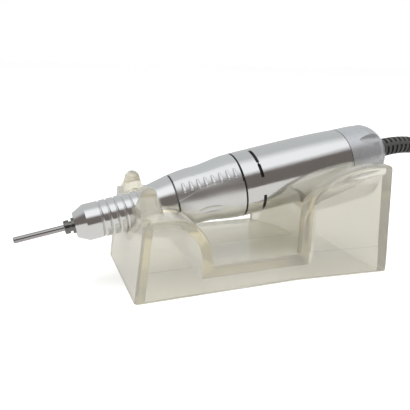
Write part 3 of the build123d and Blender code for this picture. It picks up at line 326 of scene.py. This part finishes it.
def turned_aluminium(name, colour, roughness, line_depth_mm):
    """Satin turned aluminium: bare metal, lines round the axis, slightly uneven gloss."""
    material, tree, shader, where = start_material(name, {
        "Base Color": linear(colour), "Metallic": 1.0})
    axis = add_node(tree, "ShaderNodeMapping", {
        "Vector": where, "Rotation": (0, -REST_TILT, 0),
        "Scale": (1, ROUND_STRETCH, ROUND_STRETCH)}, vector_type="TEXTURE")
    lines = add_node(tree, "ShaderNodeTexNoise", {
        "Vector": axis.outputs["Vector"], "Scale": TOOL_LINES_PER_MM / MM, "Detail": 3.0})
    cloud = add_node(tree, "ShaderNodeTexNoise", {"Vector": where, "Scale": METAL_CLOUDS_PER_MM / MM})
    gloss = add_node(tree, "ShaderNodeMapRange", {
        "Value": cloud.outputs["Fac"], "From Min": CLOUD_LOW, "From Max": CLOUD_HIGH,
        "To Min": roughness - METAL_GLOSS_SWING, "To Max": roughness + METAL_GLOSS_SWING})
    tree.links.new(gloss.outputs["Result"], shader.inputs["Roughness"])
    relief = add_node(tree, "ShaderNodeBump", {
        "Height": lines.outputs["Fac"], "Distance": line_depth_mm * MM})
    tree.links.new(relief.outputs["Normal"], shader.inputs["Normal"])
    return material


nose_metal = turned_aluminium("turned_aluminium_bright", "#e6e7e7", 0.14, 0.006)
grip_metal = turned_aluminium("turned_aluminium_satin", "#e6e7e7", 0.31, 0.006)
case_metal = turned_aluminium("turned_aluminium_case", "#e1e2e2", 0.13, 0.003)
inner_metal = turned_aluminium("turned_aluminium_plain", "#c9cacd", 0.35, 0.006)
print("materials so far", len(bpy.data.materials))


# %% [markdown]
# ## Ground steel, plated contacts and inner metals
#
# The shank and the collet are ground tool steel: darker than aluminium and nearly a mirror, so they
# show as thin bright and dark lines.  The plug's contacts are nickel plated, and the pieces inside
# are brass, copper, zinc plate and sheet steel.  All of them carry fine even marks from the tool
# and differ mainly in colour and gloss, so one function makes them all.

# %% Other metals
MARKS_PER_MM = 3.0
MARK_DEPTH_MM = 0.003


def worked_metal(name, colour, roughness):
    """A machined metal: bare, with fine even marks from the tool that made it."""
    material, tree, shader, where = start_material(name, {
        "Base Color": linear(colour), "Metallic": 1.0, "Roughness": roughness})
    marks = add_node(tree, "ShaderNodeTexNoise", {"Vector": where, "Scale": MARKS_PER_MM / MM})
    relief = add_node(tree, "ShaderNodeBump", {
        "Height": marks.outputs["Fac"], "Distance": MARK_DEPTH_MM * MM})
    tree.links.new(relief.outputs["Normal"], shader.inputs["Normal"])
    return material


ground_steel = worked_metal("ground_tool_steel", "#b4b2b2", 0.09)
blackened_steel = worked_metal("blackened_tool_steel", "#7d7c7b", 0.07)
bright_steel = worked_metal("polished_bearing_steel", "#c8c8ca", 0.12)
nickel_plate = worked_metal("nickel_plate", "#d6d2c8", 0.14)
turned_brass = worked_metal("turned_brass", "#d2b268", 0.25)
zinc_plate = worked_metal("zinc_plated_steel", "#a9adb3", 0.38)
stacked_steel = worked_metal("electrical_sheet_steel", "#7d7d80", 0.42)
copper_wire = worked_metal("enamelled_copper", "#b8673a", 0.28)
print("materials so far", len(bpy.data.materials))


# %% [markdown]
# ## Plastics and rubbers
#
# Moulded plastic and rubber differ in colour, gloss and the fine grain that the mould leaves.  A
# coarse cloud makes the gloss uneven, as handling does.  The end cap's silver paint holds metal
# flakes, so it counts as partly metallic and its flutes catch the light; the others have no metal
# in them.

# %% Plastics and rubbers
HANDLING_CLOUDS_PER_MM = 0.15
HANDLING_GLOSS_SWING = 0.05


def moulded(name, colour, shade, roughness, grains_per_mm, depth_mm, metallic=0.0):
    """A moulded plastic or rubber: two close colours, mould grain and slightly uneven gloss."""
    material, tree, shader, where = start_material(name, {"IOR": 1.5, "Metallic": metallic})
    cloud = add_node(tree, "ShaderNodeTexNoise", {
        "Vector": where, "Scale": HANDLING_CLOUDS_PER_MM / MM, "Detail": 4.0})
    tint = add_node(tree, "ShaderNodeMix", {
        MIX_SHARE: cloud.outputs["Fac"], MIX_FIRST: linear(colour), MIX_SECOND: linear(shade)},
        data_type="RGBA")
    tree.links.new(tint.outputs[MIX_RESULT], shader.inputs["Base Color"])
    gloss = add_node(tree, "ShaderNodeMapRange", {
        "Value": cloud.outputs["Fac"], "From Min": CLOUD_LOW, "From Max": CLOUD_HIGH,
        "To Min": roughness - HANDLING_GLOSS_SWING, "To Max": roughness + HANDLING_GLOSS_SWING})
    tree.links.new(gloss.outputs["Result"], shader.inputs["Roughness"])
    grain = add_node(tree, "ShaderNodeTexNoise", {"Vector": where, "Scale": grains_per_mm / MM})
    relief = add_node(tree, "ShaderNodeBump", {
        "Height": grain.outputs["Fac"], "Distance": depth_mm * MM})
    tree.links.new(relief.outputs["Normal"], shader.inputs["Normal"])
    return material


nitrile = moulded("nitrile_rubber", "#141416", "#1c1c1f", 0.55, 4.0, 0.01)
grey_nitrile = moulded("grey_nitrile_rubber", "#4c4b4a", "#565554", 0.50, 4.0, 0.01)
painted_cap = moulded("silver_painted_abs", "#b8babd", "#c0c2c5", 0.27, 2.5, 0.004, metallic=0.6)
boot_rubber = moulded("flexible_pvc_boot", "#454544", "#4e4e4d", 0.48, 2.5, 0.012)
cord_pvc = moulded("flexible_pvc_jacket", "#2c2d31", "#35363b", 0.45, 2.0, 0.01)
black_abs = moulded("black_abs", "#17171a", "#1e1e21", 0.42, 2.5, 0.006)
ferrite = moulded("ferrite", "#2b2b2e", "#343438", 0.6, 3.0, 0.01)
carbon = moulded("carbon_block", "#161616", "#202020", 0.65, 3.0, 0.01)
red_wire = moulded("red_wire_insulation", "#a8130f", "#b51a14", 0.35, 2.0, 0.004)
black_wire = moulded("black_wire_insulation", "#121212", "#1a1a1a", 0.35, 2.0, 0.004)
print("materials so far", len(bpy.data.materials))


# %% [markdown]
# ## Frosted cradle
#
# The cradle is moulded from clear acrylic with a frosted skin, slightly yellow where it is thick.
# A rough skin bends light straight through but blurs it, so what lies behind shows only as soft
# light and dark.  Absorption inside the wall gives thick edges their warmer colour, and a thin
# clear coat gives the rounded edges their sheen.  For shadow rays the skin counts as clear, because
# the renderer would else treat bent light as blocked.

# %% Cradle
FROST_PER_MM = 1.6
FROST_DEPTH_MM = 0.01
YELLOWING_PER_M = 30.0


def frosted_acrylic():
    """Frosted acrylic: rough transmission with a little milkiness, and a yellow body colour."""
    material, tree, shader, where = start_material("frosted_acrylic", {
        "Base Color": linear("#f4f3ef"), "IOR": 1.49, "Roughness": 0.15,
        "Transmission Weight": 0.79, "Coat Weight": 0.5, "Coat Roughness": 0.10})
    frost = add_node(tree, "ShaderNodeTexNoise", {
        "Vector": where, "Scale": FROST_PER_MM / MM, "Detail": 3.0})
    relief = add_node(tree, "ShaderNodeBump", {
        "Height": frost.outputs["Fac"], "Distance": FROST_DEPTH_MM * MM})
    tree.links.new(relief.outputs["Normal"], shader.inputs["Normal"])
    depth = add_node(tree, "ShaderNodeVolumeAbsorption", {
        "Color": linear("#e9e0b4"), "Density": YELLOWING_PER_M})
    output = tree.nodes["Material Output"]
    tree.links.new(depth.outputs["Volume"], output.inputs["Volume"])
    lit = add_node(tree, "ShaderNodeLightPath")
    clear = add_node(tree, "ShaderNodeBsdfTransparent", {"Color": linear("#e9e8e0")})
    mixed = add_node(tree, "ShaderNodeMixShader", {
        0: lit.outputs["Is Shadow Ray"], 1: shader.outputs["BSDF"], 2: clear.outputs["BSDF"]})
    tree.links.new(mixed.outputs["Shader"], output.inputs["Surface"])
    return material


cradle_acrylic = frosted_acrylic()
print("materials so far", len(bpy.data.materials))


# %% [markdown]
# ## Give each piece its finish
#
# The pieces come from the drawing without a finish.  A list of finishes, each with the pieces that
# have it, is easier to check against the real handpiece than one long list of pieces.

# %% Assign
FINISHES = (
    (cradle_acrylic, ["cradle"]),
    (nose_metal, ["nose_cone"]),
    (grip_metal, ["twist_grip"]),
    (case_metal, ["motor_case"]),
    (inner_metal, ["inner_barrel"]),
    (blackened_steel, ["collet", "spindle"]),
    (ground_steel, ["shank", "drawbar", "spindle_dog", "motor_dog", "disc_springs", "cam_pins",
                    "motor_shaft", "brush_springs", "plate_screws", "bearing_spacer", "bearing_nut"]),
    (bright_steel, ["spindle_bearing_outer_rings", "spindle_bearing_inner_rings",
                    "spindle_bearing_balls", "motor_bearing_outer_rings",
                    "motor_bearing_inner_rings", "motor_bearing_balls"]),
    (turned_brass, ["cam_sleeve", "release_sleeve", "brush_tubes", "terminals", "cord_clamp"]),
    (nickel_plate, ["plug_sleeve", "plug_tip"]),
    (zinc_plate, ["motor_front_plate", "yoke_tube"]),
    (stacked_steel, ["armature_core"]),
    (copper_wire, ["windings", "commutator"]),
    (ferrite, ["magnets"]),
    (carbon, ["carbon_brushes"]),
    (painted_cap, ["end_cap"]),
    (grey_nitrile, ["front_seal"]),
    (nitrile, ["rear_seal"]),
    (boot_rubber, ["strain_relief", "plug_boot"]),
    (cord_pvc, ["cord_core", "cord_tube", "cord_coil"]),
    (black_abs, ["vent_liner", "plug_grip", "plug_ring", "brush_bell"]),
    (red_wire, ["lead_red"]),
    (black_wire, ["lead_black"]),
)


def give_finish(piece, material):
    """Replaces whatever materials a piece came with by one material."""
    piece.data.materials.clear()
    piece.data.materials.append(material)


for finish, names in FINISHES:
    for node_name in names:
        give_finish(nodes[node_name], finish)
give_finish(cord, cord_pvc)
print("finished nodes", sum(len(names) for _, names in FINISHES), "of", len(nodes))


# %% [markdown]
# ## Floor, surroundings and lamps
#
# Metal shows its surroundings, so the studio matters as much as the metal.  In a reflection the
# world is white overhead, grey behind the object and dark on the viewer's side, as a studio with
# one open side is, and that dark side is what draws the dark bands along the handpiece.  The floor
# is white paper that ends in front of the object, so a reflection of the floor turns dark there
# too.  Light bent by the cradle's rough skin counts as reflected, which gives its walls some light
# and dark.  The camera and scattered light find plain white everywhere.

# %% Floor
FLOOR_HALF_WIDTH = 3.0                  # m
FLOOR_DROP = 0.0002                     # m, so that it doesn't share a plane with the cradle's rim
PAPER_GLOW = 0.30                       # lifts the paper to full white for the camera
PAPER_EDGE_NEAR = -0.72                 # m in front of the object, where the paper has ended
PAPER_EDGE_WHITE = -0.62


def studio_floor():
    """A large pale floor: white to the camera, soft shadow kept, dark towards the viewer in metal."""
    half = FLOOR_HALF_WIDTH
    mesh = bpy.data.meshes.new("floor")
    mesh.from_pydata([(-half, -half, 0), (half, -half, 0), (half, half, 0), (-half, half, 0)],
                     [], [(0, 1, 2, 3)])
    floor = bpy.data.objects.new("floor", mesh)
    bpy.context.scene.collection.objects.link(floor)
    floor.location.z = -FLOOR_DROP
    material, tree, shader, where = start_material("matt_white_paper", {
        "Base Color": (0.85, 0.85, 0.85, 1), "Roughness": 0.9})
    seen = add_node(tree, "ShaderNodeLightPath")
    glow = add_node(tree, "ShaderNodeEmission", {"Color": (1, 1, 1, 1), "Strength": PAPER_GLOW})
    both = add_node(tree, "ShaderNodeAddShader", {
        0: shader.outputs["BSDF"], 1: glow.outputs["Emission"]})
    plain = add_node(tree, "ShaderNodeMixShader", {
        0: seen.outputs["Is Camera Ray"], 1: shader.outputs["BSDF"], 2: both.outputs["Shader"]})
    parts = add_node(tree, "ShaderNodeSeparateXYZ", {"Vector": where})
    paper = add_node(tree, "ShaderNodeMapRange", {
        "Value": parts.outputs["Y"], "From Min": PAPER_EDGE_NEAR, "From Max": PAPER_EDGE_WHITE})
    tone = add_node(tree, "ShaderNodeMix", {
        MIX_SHARE: paper.outputs["Result"], MIX_FIRST: linear("#7c746f"),
        MIX_SECOND: linear("#e6e4e1")}, data_type="RGBA")
    mirrored = add_node(tree, "ShaderNodeEmission", {
        "Color": tone.outputs[MIX_RESULT], "Strength": 1.0})
    direct = add_node(tree, "ShaderNodeMath", {
        0: seen.outputs["Is Camera Ray"], 1: seen.outputs["Is Transmission Ray"]}, operation="MAXIMUM")
    in_metal = add_node(tree, "ShaderNodeMath", {
        0: seen.outputs["Is Glossy Ray"], 1: direct.outputs["Value"]},
        operation="SUBTRACT", use_clamp=True)
    chosen = add_node(tree, "ShaderNodeMixShader", {
        0: in_metal.outputs["Value"], 1: plain.outputs["Shader"], 2: mirrored.outputs["Emission"]})
    tree.links.new(chosen.outputs["Shader"], tree.nodes["Material Output"].inputs["Surface"])
    give_finish(floor, material)


studio_floor()
print("floor side in m", 2 * FLOOR_HALF_WIDTH)


# %% World
# A direction's Y runs from -1 on the viewer's side to 1 behind, its Z from -1 below to 1 overhead.
DARK_UP_TO_Y, GREY_FROM_Y = -0.15, 0.25
DARK_UP_TO_Z, WHITE_FROM_Z = 0.60, 0.78
REFLECTED_STRENGTH = 1.18
SCATTERED_STRENGTH = 0.8


def studio_world():
    """Plain white light from everywhere, and for reflections white overhead and dark in front."""
    world = bpy.data.worlds.new("studio")
    bpy.context.scene.world = world
    world.use_nodes = True
    tree = world.node_tree
    direction = add_node(tree, "ShaderNodeTexCoord").outputs["Generated"]
    parts = add_node(tree, "ShaderNodeSeparateXYZ", {"Vector": direction})
    back = add_node(tree, "ShaderNodeMapRange", {
        "Value": parts.outputs["Y"], "From Min": DARK_UP_TO_Y, "From Max": GREY_FROM_Y})
    over = add_node(tree, "ShaderNodeMapRange", {
        "Value": parts.outputs["Z"], "From Min": DARK_UP_TO_Z, "From Max": WHITE_FROM_Z})
    front = add_node(tree, "ShaderNodeMix", {
        MIX_SHARE: over.outputs["Result"], MIX_FIRST: linear("#6c6561"),
        MIX_SECOND: linear("#f4f5f6")}, data_type="RGBA")
    shade = add_node(tree, "ShaderNodeMix", {
        MIX_SHARE: back.outputs["Result"], MIX_FIRST: front.outputs[MIX_RESULT],
        MIX_SECOND: linear("#bdbfbf")}, data_type="RGBA")
    reflected = tree.nodes["Background"]
    reflected.inputs["Strength"].default_value = REFLECTED_STRENGTH
    tree.links.new(shade.outputs[MIX_RESULT], reflected.inputs["Color"])
    plain = add_node(tree, "ShaderNodeBackground", {"Color": (1, 1, 1, 1), "Strength": 1.0})
    scattered = add_node(tree, "ShaderNodeBackground", {
        "Color": (1, 1, 1, 1), "Strength": SCATTERED_STRENGTH})
    seen = add_node(tree, "ShaderNodeLightPath")
    lighting = add_node(tree, "ShaderNodeMixShader", {
        0: seen.outputs["Is Diffuse Ray"], 1: plain.outputs["Background"],
        2: scattered.outputs["Background"]})
    chosen = add_node(tree, "ShaderNodeMixShader", {
        0: seen.outputs["Is Glossy Ray"], 1: lighting.outputs["Shader"],
        2: reflected.outputs["Background"]})
    tree.links.new(chosen.outputs["Shader"], tree.nodes["World Output"].inputs["Surface"])


studio_world()
print("world", bpy.context.scene.world.name)


# %% Lamps
def soft_lamp(name, place, aim, size, power):
    """A square lamp aimed at a point: sizes in m, power in W.  It isn't seen in reflections."""
    data = bpy.data.lights.new(name, "AREA")
    data.size = size
    data.energy = power
    lamp = bpy.data.objects.new(name, data)
    lamp.location = place
    lamp.rotation_euler = (Vector(aim) - Vector(place)).to_track_quat("-Z", "Y").to_euler()
    lamp.visible_glossy = False
    bpy.context.scene.collection.objects.link(lamp)


soft_lamp("overhead_lamp", place=(0.0, 0.05, 0.9), aim=(0, 0, 0.02), size=0.7, power=4.5)
soft_lamp("left_lamp", place=(-0.8, -0.3, 0.5), aim=(0, 0, 0.03), size=0.5, power=0.8)
bpy.context.scene.view_settings.view_transform = "Standard"
